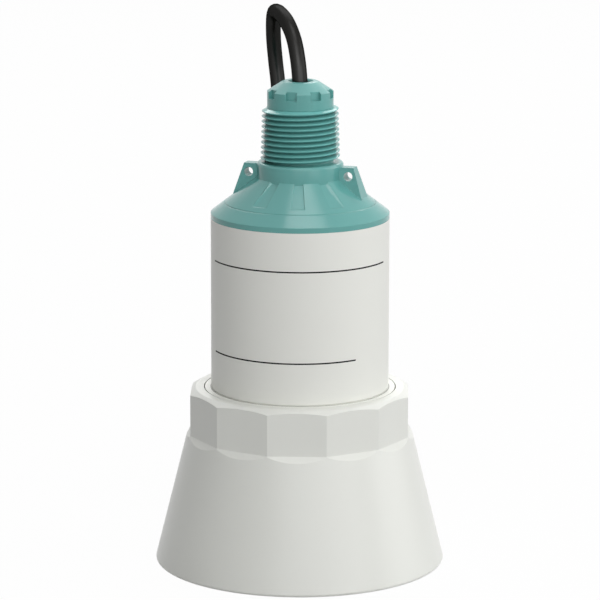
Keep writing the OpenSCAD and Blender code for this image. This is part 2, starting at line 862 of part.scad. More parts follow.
// A strap drawn round the turns, with its locking head on top
module cable_tie() {
    corner = 1.4;
    inner_x = sqrt(coil_inner_r ^ 2 - (tie_w / 2) ^ 2) - 0.03;
    outer = [
        [coil_inner_r, 0], [coil_outer_r, 0],
        [coil_outer_r + tie_t, tie_t], [coil_outer_r + tie_t, coil_step_z],
        [coil_outer_r - cable_d + corner, coil_top_z + tie_t],
        [coil_inner_r + cable_d - corner, coil_top_z + tie_t],
        [inner_x - tie_t, coil_step_z], [inner_x - tie_t, tie_t]
    ];
    inner = [
        [inner_x, coil_foot_z], [coil_outer_r, coil_foot_z],
        [coil_outer_r, coil_step_z - eps],
        [coil_outer_r - cable_d + corner / 2, coil_top_z],
        [coil_inner_r + cable_d - corner / 2, coil_top_z],
        [inner_x, coil_step_z - eps]
    ];
    translate([0, tie_w / 2, 0]) rotate([90, 0, 0]) linear_extrude(tie_w) difference() {
        polygon(outer);
        polygon(inner);
    }
    translate([coil_mid_r - 3, -tie_w / 2 - 1, coil_top_z]) cube([6, tie_w + 2, tie_head_h]);
}

module cable_ties() {
    color([0.08, 0.08, 0.08])
    translate([coil_pos[0], coil_pos[1], 0])
        for (a = tie_angles) rotate([0, 0, a]) cable_tie();
}

module cable_tail() {
    steps = 5;
    span = tail_angles[1] - tail_angles[0];
    color([0.06, 0.06, 0.06])
    swept([
        for (i = [0 : steps]) coil_point(tail_r, tail_angles[0] + span * i / steps, tail_z),
        tail_end
    ], cable_r, 12);
}

// Turns what stands along Z so that it points along the coil at an angle
module along(angle) {
    rotate([0, 0, angle + 90]) rotate([0, 90, 0]) children();
}

module end_cap() {
    color([0.05, 0.05, 0.05])
    translate(tail_end) along(tail_way) turned([
        [0, 0],
        [cable_r, 0],
        [cable_r, end_cap_h - 3],
        [cable_r - 0.6, end_cap_h],
        [0, end_cap_h]
    ]);
}

// Radius at which a core's ferrule starts: 0 is the inner core, 1 the outer one
function ferrule_start_r(which) = ferrule_inner_r + which * (2 * ferrule_r + 0.3);
function ferrule_point(which) =
    coil_point(ferrule_start_r(which), ferrule_angle, coil_step_z + ferrule_r)
    + ferrule_run * coil_way(ferrule_way);

// One stripped core, out of the end cap and on along the gap, to its ferrule
module lead(which) {
    rest_r = lead_inner_r + which * (core_d + lead_gap);
    across = (2 * which - 1) * (core_d + 2 * lead_gap) / 2;
    cap_end = tail_end + end_cap_h * coil_way(tail_way)
        + across * [cos(tail_way), sin(tail_way), 0];
    swept([
        cap_end,
        cap_end + 2 * coil_way(tail_way),
        for (a = lead_angles) coil_point(rest_r, a, lead_z),
        ferrule_point(which) - ferrule_run * coil_way(ferrule_way),
        ferrule_point(which)
    ], core_d / 2, 8);
}

module lead_brown() {
    color([0.35, 0.18, 0.08]) lead(0);
}

module lead_blue() {
    color([0.1, 0.25, 0.6]) lead(1);
}

// Crimped ferrules: a collar on each core and a bare pin beyond it
module lead_ferrules() {
    color([0.75, 0.75, 0.78])
    for (which = [0, 1]) translate(ferrule_point(which)) along(ferrule_way) union() {
        cylinder(r = ferrule_r, h = ferrule_h, $fn = 32);
        cylinder(r = ferrule_pin_r, h = ferrule_h + ferrule_pin_h, $fn = 24);
    }
}

hood();
hood_gasket();
antenna_base();
lens();
base_o_ring();
feed_horn();
radar_board();
radar_chip();
board_pillars();
board_screws();
board_header();
housing();
main_board();
processor();
capacitors();
supply_choke();
terminal_block();
core_brown();
core_blue();
head_cap();
cap_o_ring();
cable_seal();
slip_ring();
gland_nut();
cable();
cable_coil();
cable_ties();
cable_tail();
end_cap();
lead_brown();
lead_blue();
lead_ferrules();
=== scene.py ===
"""Radar level transmitter: its looks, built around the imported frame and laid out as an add-on.

Every size is in metres, in the frame's own axes: +Z up along the device, the lugs along X.
Each operator builds or finishes one piece or one group of like pieces.
"""

import math

import bmesh
import bpy
from bpy.props import FloatProperty, FloatVectorProperty, IntProperty, PointerProperty
from mathutils import Matrix, Vector


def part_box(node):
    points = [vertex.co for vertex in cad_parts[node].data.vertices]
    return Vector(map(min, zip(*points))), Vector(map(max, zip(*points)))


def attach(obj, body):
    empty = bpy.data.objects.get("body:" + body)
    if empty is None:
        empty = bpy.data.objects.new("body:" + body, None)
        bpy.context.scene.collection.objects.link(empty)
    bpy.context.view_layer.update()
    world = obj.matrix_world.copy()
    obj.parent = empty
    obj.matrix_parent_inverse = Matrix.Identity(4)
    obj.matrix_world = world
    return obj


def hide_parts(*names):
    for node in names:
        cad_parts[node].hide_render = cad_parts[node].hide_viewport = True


bl_info = {
    "name": "Radar level transmitter",
    "version": (1, 0, 0),
    "blender": (4, 5, 0),
    "location": "3D View > Sidebar > Transmitter",
    "description": "Builds the looks of a compact radar level transmitter around its frame",
    "category": "Object",
}

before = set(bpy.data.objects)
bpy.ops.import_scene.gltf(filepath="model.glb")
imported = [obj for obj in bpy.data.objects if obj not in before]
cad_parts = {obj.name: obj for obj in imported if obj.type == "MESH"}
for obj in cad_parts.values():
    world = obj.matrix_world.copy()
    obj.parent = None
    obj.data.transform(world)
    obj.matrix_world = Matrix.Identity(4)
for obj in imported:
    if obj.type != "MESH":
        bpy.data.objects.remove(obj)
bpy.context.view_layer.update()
MM = 0.001


# ---- what a user would change ----


def length(name, description, default, **limits):
    return FloatProperty(
        name=name, description=description, default=default, unit="LENGTH", precision=5, **limits
    )


def colour(name, description, default):
    return FloatVectorProperty(
        name=name, description=description, default=default, subtype="COLOR", size=3, min=0, max=1
    )


class TransmitterSizes(bpy.types.PropertyGroup):
    """Sizes of what is built on the frame."""

    cable_d: length("Cable diameter", "Diameter of the cable's jacket", 6.5 * MM)
    core_d: length("Core diameter", "Diameter of each core of the cable", 1.8 * MM)
    coil_inner: length("Coil inner radius", "Radius of the innermost turns", 26 * MM)
    coil_layers: IntProperty(
        name="Coil layers", description="Full layers of turns in the coil", default=5
    )
    tie_width: length("Tie width", "Width of each cable tie", 3.6 * MM)
    tie_thickness: length("Tie thickness", "Thickness of each cable tie", 1.1 * MM)
    line_width: length("Printed line", "Width of the printed lines on the housing", 0.6 * MM)
    upper_line_z: length("Upper line", "Height of the upper printed line", 132.07 * MM)
    lower_line_z: length("Lower line", "Height of the lower printed line", 93.45 * MM)


class TransmitterColours(bpy.types.PropertyGroup):
    """Colours of the finishes."""

    teal: colour("Teal", "Moulded head cap and gland nut", (0.134, 0.400, 0.378))
    white: colour("White", "Housing and antenna base", (0.862, 0.868, 0.822))
    hood: colour("Hood", "Turned and milled hood", (0.830, 0.840, 0.795))
    lens: colour("Lens", "Antenna lens", (0.860, 0.860, 0.840))
    jacket: colour("Jacket", "Cable jacket", (0.007, 0.0068, 0.0056))
    rubber: colour("Rubber", "Seals", (0.020, 0.020, 0.020))
    board: colour("Board", "Solder mask on the boards", (0.012, 0.130, 0.050))
    ink: colour("Ink", "Printed lines", (0.010, 0.010, 0.009))


def sizes():
    return bpy.context.scene.transmitter_sizes


def colours():
    return bpy.context.scene.transmitter_colours


# ---- building node trees ----


def add(tree, kind, values=None, **settings):
    """A node of a kind, with its settings, and its inputs set to values or linked to sockets."""
    made = tree.nodes.new(kind)
    for name, value in settings.items():
        setattr(made, name, value)
    for name, value in (values or {}).items():
        socket = made.inputs[name]
        if isinstance(value, bpy.types.NodeSocket):
            tree.links.new(value, socket)
        else:
            socket.default_value = value
    return made


def maths(tree, operation, *values):
    """The result of one sum on values or sockets."""
    return add(tree, "ShaderNodeMath", dict(enumerate(values)), operation=operation).outputs[0]


def place_parts(tree):
    """X, Y and Z of a point in the device's own axes."""
    place = add(tree, "ShaderNodeTexCoord").outputs["Object"]
    return add(tree, "ShaderNodeSeparateXYZ", {0: place}).outputs


def axis_distance(tree, parts):
    """Distance of a point from the device's axis."""
    across = maths(tree, "MULTIPLY", parts["X"], parts["X"])
    along = maths(tree, "MULTIPLY", parts["Y"], parts["Y"])
    return maths(tree, "SQRT", maths(tree, "ADD", across, along))


def scaled(tree, tint, factor):
    """A colour made darker or lighter by a factor."""
    node = add(tree, "ShaderNodeVectorMath", {0: tint, "Scale": factor}, operation="SCALE")
    return node.outputs[0]


def new_group(name, inputs, outputs, kind="ShaderNodeTree"):
    """An empty group with named sockets, its input sockets by name, and its output node."""
    group = bpy.data.node_groups.new(name, kind)
    for label, socket_type, default in inputs:
        socket = group.interface.new_socket(label, in_out="INPUT", socket_type=socket_type)
        if default is not None:
            socket.default_value = default
    for label, socket_type in outputs:
        group.interface.new_socket(label, in_out="OUTPUT", socket_type=socket_type)
    ins = group.nodes.new("NodeGroupInput")
    outs = group.nodes.new("NodeGroupOutput")
    return group, ins.outputs, outs


FLOAT, COLOUR = "NodeSocketFloat", "NodeSocketColor"
WHITE = (1, 1, 1, 1)


def moulded_skin():
    """Faint unevenness of tint, gloss and surface on a plastic or rubber."""
    group, ins, outs = new_group(
        "moulded skin",
        [
            ("Light", COLOUR, None),
            ("Dark", COLOUR, None),
            ("Grain", FLOAT, 2500),
            ("Roughness", FLOAT, 0.4),
            ("Roughness spread", FLOAT, 0.06),
        ],
        [("Colour", COLOUR), ("Roughness", FLOAT), ("Height", FLOAT)],
    )
    place = add(group, "ShaderNodeTexCoord").outputs["Object"]
    cloud = add(group, "ShaderNodeTexNoise", {"Vector": place, "Scale": 28, "Detail": 3})
    grain = add(
        group, "ShaderNodeTexNoise", {"Vector": place, "Scale": ins["Grain"], "Detail": 2}
    )
    rub = add(group, "ShaderNodeTexNoise", {"Vector": place, "Scale": 160, "Detail": 4})
    tint = add(
        group,
        "ShaderNodeMix",
        {0: cloud.outputs["Fac"], 6: ins["Dark"], 7: ins["Light"]},
        data_type="RGBA",
    )
    spread = maths(group, "MULTIPLY", maths(group, "SUBTRACT", rub.outputs["Fac"], 0.5), 2.0)
    spread = maths(group, "MULTIPLY", spread, ins["Roughness spread"])
    rough = maths(group, "ADD", ins["Roughness"], spread)
    swell = maths(group, "MULTIPLY", cloud.outputs["Fac"], 6.0)
    height = maths(group, "ADD", grain.outputs["Fac"], swell)
    group.links.new(tint.outputs[2], outs.inputs["Colour"])
    group.links.new(rough, outs.inputs["Roughness"])
    group.links.new(height, outs.inputs["Height"])
    return group


def turned_marks():
    """Concentric tool marks about the device's axis, on faces that look up or down."""
    group, ins, outs = new_group(
        "turned marks",
        [("Pitch", FLOAT, 0.35 * MM), ("From height", FLOAT, 0.0), ("To height", FLOAT, 1.0)],
        [("Height", FLOAT)],
    )
    parts = place_parts(group)
    ring = maths(group, "DIVIDE", axis_distance(group, parts), ins["Pitch"])
    mark = add(group, "ShaderNodeTexNoise", {"W": ring, "Scale": 1.0, "Detail": 2},
               noise_dimensions="1D")
    above = maths(group, "GREATER_THAN", parts["Z"], ins["From height"])
    below = maths(group, "LESS_THAN", parts["Z"], ins["To height"])
    mask = maths(group, "MULTIPLY", above, below)
    group.links.new(maths(group, "MULTIPLY", mark.outputs["Fac"], mask), outs.inputs["Height"])
    return group


def groove_shade():
    """Painted shade, deepening the colour where a groove or an inner corner shuts out the light.

    It works above a height, and all that lies there is lifted in tone, a painted lightening, to
    make up for it.
    """
    group, ins, outs = new_group(
        "groove shade",
        [("Colour", COLOUR, None), ("Reach", FLOAT, 1.5 * MM), ("Depth", FLOAT, 0.5),
         ("From height", FLOAT, 0.0), ("Lift", FLOAT, 0.0)],
        [("Colour", COLOUR)],
    )
    hollow = add(group, "ShaderNodeAmbientOcclusion", {"Distance": ins["Reach"]},
                 samples=8, only_local=True)
    above = maths(group, "GREATER_THAN", place_parts(group)["Z"], ins["From height"])
    shut = maths(group, "MULTIPLY", maths(group, "SUBTRACT", 1.0, hollow.outputs["AO"]),
                 ins["Depth"])
    change = maths(group, "MULTIPLY", above, maths(group, "SUBTRACT", ins["Lift"], shut))
    left = maths(group, "ADD", 1.0, change)
    group.links.new(scaled(group, ins["Colour"], left), outs.inputs["Colour"])
    return group


def joint_shadow():
    """A painted shadow, a dark ring round the device's axis, where one part stands on another."""
    group, ins, outs = new_group(
        "joint shadow",
        [("Colour", COLOUR, None), ("Inner radius", FLOAT, 0.0), ("Outer radius", FLOAT, 0.0),
         ("From height", FLOAT, 0.0), ("Depth", FLOAT, 0.7)],
        [("Colour", COLOUR)],
    )
    parts = place_parts(group)
    reach = axis_distance(group, parts)
    within = maths(
        group, "MULTIPLY",
        maths(group, "LESS_THAN", reach, ins["Outer radius"]),
        maths(group, "GREATER_THAN", reach, ins["Inner radius"]),
    )
    above = maths(group, "GREATER_THAN", parts["Z"], ins["From height"])
    mask = maths(group, "MULTIPLY", maths(group, "MULTIPLY", within, above), ins["Depth"])
    left = maths(group, "SUBTRACT", 1.0, mask)
    group.links.new(scaled(group, ins["Colour"], left), outs.inputs["Colour"])
    return group


def effect(tree, builder, values):
    """A shared effect, built once, placed in a material with its own values."""
    group = bpy.data.node_groups.get(builder.__name__.replace("_", " ")) or builder()
    return add(tree, "ShaderNodeGroup", values, node_tree=group).outputs


def new_material(name):
    """A material with its tree and main shader, or the one of that name with neither."""
    found = bpy.data.materials.get("look " + name)
    if found:
        return found, None, None
    made = bpy.data.materials.new("look " + name)
    made.use_nodes = True
    tree = made.node_tree
    tree.nodes.clear()
    shader = tree.nodes.new("ShaderNodeBsdfPrincipled")
    out = tree.nodes.new("ShaderNodeOutputMaterial")
    tree.links.new(shader.outputs[0], out.inputs[0])
    return made, tree, shader


def shade(rgb, factor):
    """A colour with alpha, made lighter or darker by a factor."""
    return tuple(min(1.0, c * factor) for c in rgb) + (1.0,)


def bumped(tree, height, depth, strength, normal=None):
    """The normals of a surface with a fine relief on it."""
    values = {"Strength": strength, "Distance": depth, "Height": height}
    if normal:
        values["Normal"] = normal
    return add(tree, "ShaderNodeBump", values).outputs[0]


def soft_edges(tree, radius):
    """Normals that round a part's edges: by one radius, or (below, above, height)."""
    if isinstance(radius, tuple):
        low, high, height = radius
        above = maths(tree, "GREATER_THAN", place_parts(tree)["Z"], height)
        radius = maths(tree, "ADD", low, maths(tree, "MULTIPLY", above, high - low))
    return add(tree, "ShaderNodeBevel", {"Radius": radius}, samples=8).outputs[0]


def plastic(name, rgb, rough=0.4, grain=2500, depth=0.02 * MM, spread=0.06, edge=0.25 * MM,
            tint=0.03, ior=1.5, turned=None, coat=0.0, subsurface=0.0, groove=None,
            joint=None, dull_rim=0.0):
    """A moulded or turned plastic, or a rubber: tint, grain, softened edges, and tool marks.

    edge: as soft_edges takes it. turned: from height, to height and depth of tool marks.
    groove: reach, depth, from height and lift of the painted shade in grooves. joint: inner
    radius, outer radius and from height of a painted shadow ring. dull_rim: how fast the shine
    falls off where the surface turns away, 0 for not at all.
    """
    made, tree, shader = new_material(name)
    if tree is None:
        return made
    skin = effect(tree, moulded_skin, {
        "Light": shade(rgb, 1 + tint), "Dark": shade(rgb, 1 - tint), "Grain": grain,
        "Roughness": rough, "Roughness spread": spread,
    })
    hue = skin["Colour"]
    if groove:
        labels = ("Reach", "Depth", "From height", "Lift")
        hue = effect(tree, groove_shade, {"Colour": hue, **dict(zip(labels, groove))})[0]
    if joint:
        labels = ("Inner radius", "Outer radius", "From height")
        hue = effect(tree, joint_shadow, {"Colour": hue, **dict(zip(labels, joint))})[0]
    tree.links.new(hue, shader.inputs["Base Color"])
    tree.links.new(skin["Roughness"], shader.inputs["Roughness"])
    normal = bumped(tree, skin["Height"], depth, 0.35, soft_edges(tree, edge))
    if turned:
        low, high, mark = turned
        marks = effect(tree, turned_marks, {"From height": low, "To height": high})
        normal = bumped(tree, marks["Height"], mark, 0.5, normal)
    tree.links.new(normal, shader.inputs["Normal"])
    shader.inputs["IOR"].default_value = ior
    if dull_rim:
        facing = add(tree, "ShaderNodeLayerWeight", {"Blend": 0.5}).outputs["Facing"]
        shine = maths(tree, "POWER", maths(tree, "SUBTRACT", 1.0, facing), dull_rim)
        tree.links.new(maths(tree, "MULTIPLY", shine, 0.5), shader.inputs["Specular IOR Level"])
    shader.inputs["Coat Weight"].default_value = coat
    if subsurface:
        shader.inputs["Subsurface Weight"].default_value = subsurface
        shader.inputs["Subsurface Radius"].default_value = (1.0, 0.9, 0.8)
        shader.inputs["Subsurface Scale"].default_value = 1.5 * MM
    return made


def metal(name, rgb, rough):
    """A turned or plated metal with fine, uneven gloss."""
    made, tree, shader = new_material(name)
    if tree is None:
        return made
    skin = effect(tree, moulded_skin, {
        "Light": shade(rgb, 1.05), "Dark": shade(rgb, 0.92), "Grain": 4000,
        "Roughness": rough, "Roughness spread": 0.12,
    })
    tree.links.new(skin["Colour"], shader.inputs["Base Color"])
    tree.links.new(skin["Roughness"], shader.inputs["Roughness"])
    normal = bumped(tree, skin["Height"], 0.01 * MM, 0.3)
    tree.links.new(normal, shader.inputs["Normal"])
    shader.inputs["Metallic"].default_value = 1.0
    return made


def finish_node(node, material):
    """Gives a frame node its material."""
    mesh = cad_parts[node].data
    for i in range(max(1, len(mesh.materials))):
        if i < len(mesh.materials):
            mesh.materials[i] = material
        else:
            mesh.materials.append(material)


# ---- building meshes and curves ----


def link(piece, material=None):
    """Puts an object in the scene, with its material if it has one."""
    bpy.context.scene.collection.objects.link(piece)
    if material:
        piece.data.materials.append(material)
    return piece


def tube_curve(name, points, diameter, material, sides=4):
    """A round tube as a curve of one open spline through points that lie close together."""
    curve = bpy.data.curves.new(name, "CURVE")
    curve.dimensions = "3D"
    spline = curve.splines.new("POLY")
    spline.points.add(len(points) - 1)
    for at, point in zip(spline.points, points):
        at.co = (*point, 1.0)
    spline.use_smooth = True
    curve.bevel_depth = diameter / 2
    curve.bevel_resolution = sides
    curve.use_fill_caps = True
    curve.twist_mode = "MINIMUM"
    return link(bpy.data.objects.new(name, curve), material)


def smooth_through(points, steps):
    """Points on one smooth curve that passes through the given ones."""
    points = [Vector(p) for p in points]
    ends = [points[0] * 2 - points[1], *points, points[-1] * 2 - points[-2]]
    made = []
    for i in range(1, len(ends) - 2):
        a, b, c, d = ends[i - 1 : i + 3]
        for j in range(steps):
            t = j / steps
            made.append(
                0.5
                * (
                    2 * b
                    + (c - a) * t
                    + (2 * a - 5 * b + 4 * c - d) * t**2
                    + (3 * b - a - 3 * c + d) * t**3
                )
            )
    made.append(points[-1])
    return made


def run_length(points):
    """Length of a line through points."""
    return sum((b - a).length for a, b in zip(points, points[1:]))


def mesh_piece(name, verts, faces, material):
    """A closed mesh with its faces turned outwards."""
    mesh = bpy.data.meshes.new(name)
    mesh.from_pydata(verts, [], faces)
    shape = bmesh.new()
    shape.from_mesh(mesh)
    bmesh.ops.remove_doubles(shape, verts=shape.verts, dist=1e-6)
    bmesh.ops.recalc_face_normals(shape, faces=shape.faces)
    shape.to_mesh(mesh)
    shape.free()
    return link(bpy.data.objects.new(name, mesh), material)


# ---- the stage ----

CAMERA_TURN = 16.5
CAMERA_DISTANCE = 1.4097
CAMERA_HEIGHT = 0.41336
CAMERA_PITCH = 12.043
CAMERA_ROLL = 0.10
CAMERA_LENS = 204.37
ROOM_LIGHT = 0.02
# How white the floor looks, what share of that it takes, and the tone that bounces light
FLOOR_GLOW, FLOOR_SHARE, FLOOR_TONE = 1.02, 0.95, 0.50
FLOOR_HALF = 6.0
LAMP_AIM = (0, 0, 0.1)
# Soft lamps: degrees round from the camera, distance out, height, width, depth, watts
LAMPS = {
    "overhead": (0, 0.0, 2.0, 3.0, 3.0, 5),
    "softbox": (45, 0.14, 1.5, 0.66, 0.5, 4.0),
    "front_top": (0, 1.3, 1.5, 1.2, 1.2, 7.2),
    "near_right": (38, 1.6, 0.5, 1.0, 1.0, 5),
    "front": (0, 2.2, 0.8, 1.6, 1.6, 10.6),
    "right": (95, 1.9, 0.8, 1.6, 1.6, 16.2),
    "back": (180, 1.6, 1.6, 1.6, 1.6, 25),
}


def around(degrees, distance, height):
    """A point round the device: 0 is in front, and the angle grows towards +X."""
    a = math.radians(degrees)
    return Vector((math.sin(a) * distance, -math.cos(a) * distance, height))


def lamp(name, place, size, watts):
    """A soft lamp that looks at the device, its width level or, from above, across the view."""
    data = bpy.data.lights.new(name, "AREA")
    data.shape = "RECTANGLE"
    data.size, data.size_y = size
    data.energy = watts
    made = bpy.data.objects.new(name, data)
    made.location = place
    made.rotation_mode = "QUATERNION"
    back = (place - Vector(LAMP_AIM)).normalized()
    side = Vector((0, 0, 1)).cross(back)
    if side.length < 0.3:
        side = back.cross(around(CAMERA_TURN, -1, 0))
    side.normalize()
    made.rotation_quaternion = Matrix((side, back.cross(side), back)).transposed().to_quaternion()
    link(made)


def seen_ray(tree):
    """1 for what is seen, mirrored or looked at through, and 0 for what only gives light."""
    path = add(tree, "ShaderNodeLightPath")
    glossy = maths(
        tree, "MAXIMUM", path.outputs["Is Glossy Ray"], path.outputs["Is Transmission Ray"]
    )
    return maths(tree, "MAXIMUM", path.outputs["Is Camera Ray"], glossy)


class TRANSMITTER_OT_stage(bpy.types.Operator):
    """Makes the camera, the soft studio light and the pale floor"""

    bl_idname = "transmitter.stage"
    bl_label = "Stage"

    def execute(self, context):
        scene = context.scene
        scene.view_settings.view_transform = "Standard"
        data = bpy.data.cameras.new("camera")
        data.lens = CAMERA_LENS
        data.sensor_width = 36
        data.clip_start, data.clip_end = 0.05, 50
        camera = bpy.data.objects.new("camera", data)
        camera.location = around(CAMERA_TURN, CAMERA_DISTANCE, CAMERA_HEIGHT)
        camera.rotation_mode = "QUATERNION"
        turn = (
            Matrix.Rotation(math.radians(CAMERA_TURN), 3, "Z")
            @ Matrix.Rotation(math.radians(90 - CAMERA_PITCH), 3, "X")
            @ Matrix.Rotation(math.radians(CAMERA_ROLL), 3, "Z")
        )
        camera.rotation_quaternion = turn.to_quaternion()
        link(camera)
        scene.camera = camera

        world = bpy.data.worlds.new("studio")
        world.use_nodes = True
        tree = world.node_tree
        tree.nodes.clear()
        room = add(tree, "ShaderNodeBackground", {"Color": WHITE, "Strength": ROOM_LIGHT})
        seen_white = add(tree, "ShaderNodeBackground", {"Color": WHITE, "Strength": 1.0})
        mix = add(tree, "ShaderNodeMixShader", {0: seen_ray(tree), 1: room.outputs[0],
                                                2: seen_white.outputs[0]})
        out = add(tree, "ShaderNodeOutputWorld")
        tree.links.new(mix.outputs[0], out.inputs[0])
        scene.world = world

        for name, (turn, out, up, wide, deep, watts) in LAMPS.items():
            lamp(name, around(CAMERA_TURN + turn, out, up), (wide, deep), watts)
        self.floor()
        return {"FINISHED"}

    def floor(self):
        """A wide pale floor that is white to the eye and keeps a trace of the shadow."""
        mesh = bpy.data.meshes.new("floor")
        corners = ((-1, -1), (1, -1), (1, 1), (-1, 1))
        mesh.from_pydata(
            [(x * FLOOR_HALF, y * FLOOR_HALF, 0) for x, y in corners], [], [(0, 1, 2, 3)]
        )
        made, tree, shader = new_material("floor")
        shader.inputs["Base Color"].default_value = (FLOOR_TONE, FLOOR_TONE, FLOOR_TONE, 1)
        shader.inputs["Roughness"].default_value = 0.9
        shader.inputs["Specular IOR Level"].default_value = 0.0
        glow = add(tree, "ShaderNodeEmission", {"Color": WHITE, "Strength": FLOOR_GLOW})
        share = maths(tree, "MULTIPLY", seen_ray(tree), FLOOR_SHARE)
        mix = add(tree, "ShaderNodeMixShader", {0: share, 1: shader.outputs[0],
                                                2: glow.outputs[0]})
        out = next(n for n in tree.nodes if n.bl_idname == "ShaderNodeOutputMaterial")
        tree.links.new(mix.outputs[0], out.inputs[0])
        link(bpy.data.objects.new("floor", mesh), made)


# ---- the cable ----

# The free stretch, as the frame's own cable runs: up out of the gland, over in one loop,
# down behind the housing and onto the outer turn of the coil. In millimetres
CABLE_ROUTE = [
    (0, 0, 177), (0, 0, 186), (0, 0, 196), (-0.2, -0.2, 206.5),
    (-1.7, 1.6, 215.4), (-4.6, 5.7, 222.9), (-9, 11.4, 228.5), (-14.1, 18.4, 231.4),
    (-18.8, 26.4, 231.5), (-22.1, 34.7, 228.8), (-24.6, 41.9, 223.3), (-26, 47.2, 215.5),
    (-26, 50, 206.2), (-24.8, 50, 195.1), (-24, 48.5, 182), (-24.5, 48.5, 166),
    (-26, 48, 150), (-28.5, 47.5, 134), (-31.5, 46.5, 118), (-34.5, 45.5, 102),
    (-36.5, 45, 86), (-37.5, 44.5, 74), (-37.5, 44.5, 63.5), (-36.5, 45.5, 54.5),
    (-33.5, 48, 47.5), (-28.5, 51.5, 41.5), (-23, 56, 38), (-17, 61, 37),
    (-11, 65.5, 37), (-4.5, 70, 37), (1, 74, 37),
]
COIL_CENTRE = Vector((-31.5, 107, 0)) * MM
COIL_FOOT = 1.2 * MM
COIL_COLUMNS = 4
# Angles round the coil are counted from here, in degrees from +X
COIL_ZERO = -73.5
COIL_START = 36
COIL_SHIFT = 39
# Degrees over which a turn changes layer, and over which it changes column
LAYER_STEP, COLUMN_STEP = 100, 60
# Degrees between the coil's points, and points laid between two of the route and of the join
COIL_POINT_STEP, ROUTE_STEPS, JOIN_STEPS = 6, 5, 6
TAIL_END = 317 - COIL_ZERO
TAIL_WAY = 329 - COIL_ZERO
TAIL_RUN = 2 * MM


def coil_point(radius, angle, height):
    """A point on the coil, by its distance from the coil's axis, its angle and its height."""
    a = math.radians(COIL_ZERO + angle)
    return COIL_CENTRE + Vector((radius * math.cos(a), radius * math.sin(a), height))


def coil_way(angle):
    """The way along the coil at an angle."""
    a = math.radians(COIL_ZERO + angle)
    return Vector((-math.sin(a), math.cos(a), 0))


def coil_steps(layers):
    """Where the winding changes layer or column: start, end, layers up, columns inwards.

    It fills the outer column downwards, the next one upwards, and so on inwards, and each
    column takes its step up or down at the same place in every turn.
    """
    steps = []
    for column in range(COIL_COLUMNS):
        start = column * (360 * layers + 2 * LAYER_STEP)
        up = 1 if column % 2 else -1
        for at in range(start, start + 360 * layers, 360):
            steps.append((at, at + LAYER_STEP, up, 0))
        if column < COIL_COLUMNS - 1:
            full = start + 360 * layers
            steps.append((full - COLUMN_STEP, full, 0, 1))
    return steps


def eased(x):
    """From 0 to 1 with a gentle start and end."""
    x = min(1.0, max(0.0, x))
    return (1 - math.cos(math.pi * x)) / 2


def coil_points(size):
    """The points of the coiled stretch, from the outer column's top turn to the tail."""
    d = size.cable_d
    layers = size.coil_layers
    steps = [(COIL_SHIFT + a, COIL_SHIFT + b, up, inward) for a, b, up, inward in
             coil_steps(layers)]
    wound = steps[-1][1]
    last = wound + (TAIL_END - wound) % 360
    count = int((last - COIL_START) / COIL_POINT_STEP)
    made = []
    for i in range(count + 1):
        angle = COIL_START + (last - COIL_START) * i / count
        layer, column = layers, 0.0
        for start, end, up, inward in steps:
            share = eased((angle - start) / (end - start))
            layer += up * share
            column += inward * share
        radius = size.coil_inner + (COIL_COLUMNS - 1 - column) * d
        made.append(coil_point(radius, angle, COIL_FOOT + (layer + 0.5) * d))
    return made


class TRANSMITTER_OT_cable(bpy.types.Operator):
    """Lays the cable from the gland, over in one loop and into its coil behind the hood"""

    bl_idname = "transmitter.cable"
    bl_label = "Cable"

    def execute(self, context):
        size = sizes()
        free = smooth_through([Vector(p) * MM for p in CABLE_ROUTE], ROUTE_STEPS)
        coil = coil_points(size)
        join = smooth_through([free[-1 - ROUTE_STEPS], free[-1], coil[1], coil[4]], JOIN_STEPS)
        end = coil[-1] + TAIL_RUN * coil_way(TAIL_WAY)
        points = free[:-1] + join[JOIN_STEPS : 2 * JOIN_STEPS] + coil[1:] + [end]
        jacket = plastic("jacket", colours().jacket, rough=0.3, grain=1500,
                         depth=0.03 * MM, tint=0.25, edge=0.1 * MM, ior=1.45, dull_rim=4)
        cable = tube_curve("cable_with_coil", points, size.cable_d, jacket, sides=6)
        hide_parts("cable", "cable_coil", "cable_tail")
        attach(cable, "transmitter")
        print("cable", round(run_length(points), 4), "m", len(points), "points")
        return {"FINISHED"}


# ---- what is on the cable's end, and the ties ----

CORE_COLOURS = {"brown": (0.170, 0.060, 0.022), "blue": (0.020, 0.075, 0.330)}
CAP_LENGTH = 9 * MM
LEAD_ANGLES = (351, 359, 367, 374)
LEAD_LIFT = 0.1 * MM
LEAD_GAP = 0.1 * MM
FERRULE_ANGLE = 380
FERRULE_WAY = 393
FERRULE_RUN = 1.5 * MM
FERRULE_R = 1.3 * MM
TIE_ANGLES = (61.5, 241.5)
# Size of a tie's head and of its cut end: across the strap's run, along the strap, up
TIE_HEAD = Vector((5.4, 5.2, 3.6)) * MM
TIE_END = Vector((1.1, 3.4, 1.6)) * MM
STRAP_EDGE = 0.25 * MM
TIE_SHARP = 40


def lead_points(which):
    """The points of one stripped core, as in the frame: 0 is the inner core, 1 the outer."""
    size = sizes()
    step = COIL_FOOT + size.coil_layers * size.cable_d
    tail = coil_point(size.coil_inner, TAIL_END, step + size.cable_d / 2)
    way = coil_way(TAIL_WAY)
    out = Vector((way.y, -way.x, 0))
    start = tail + (TAIL_RUN + CAP_LENGTH) * way
    start += (2 * which - 1) * (size.core_d / 2 + LEAD_GAP) * out
    rest = size.coil_inner + 0.4 * MM + which * (size.core_d + LEAD_GAP)
    low = step + size.core_d / 2 + LEAD_LIFT
    end = coil_point(
        size.coil_inner - MM + which * (2 * FERRULE_R + 0.3 * MM),
        FERRULE_ANGLE - COIL_ZERO,
        step + FERRULE_R,
    )
    return [
        start,
        start + 2 * MM * way,
        *[coil_point(rest, a - COIL_ZERO, low) for a in LEAD_ANGLES],
        end,
        end + FERRULE_RUN * coil_way(FERRULE_WAY - COIL_ZERO),
    ]


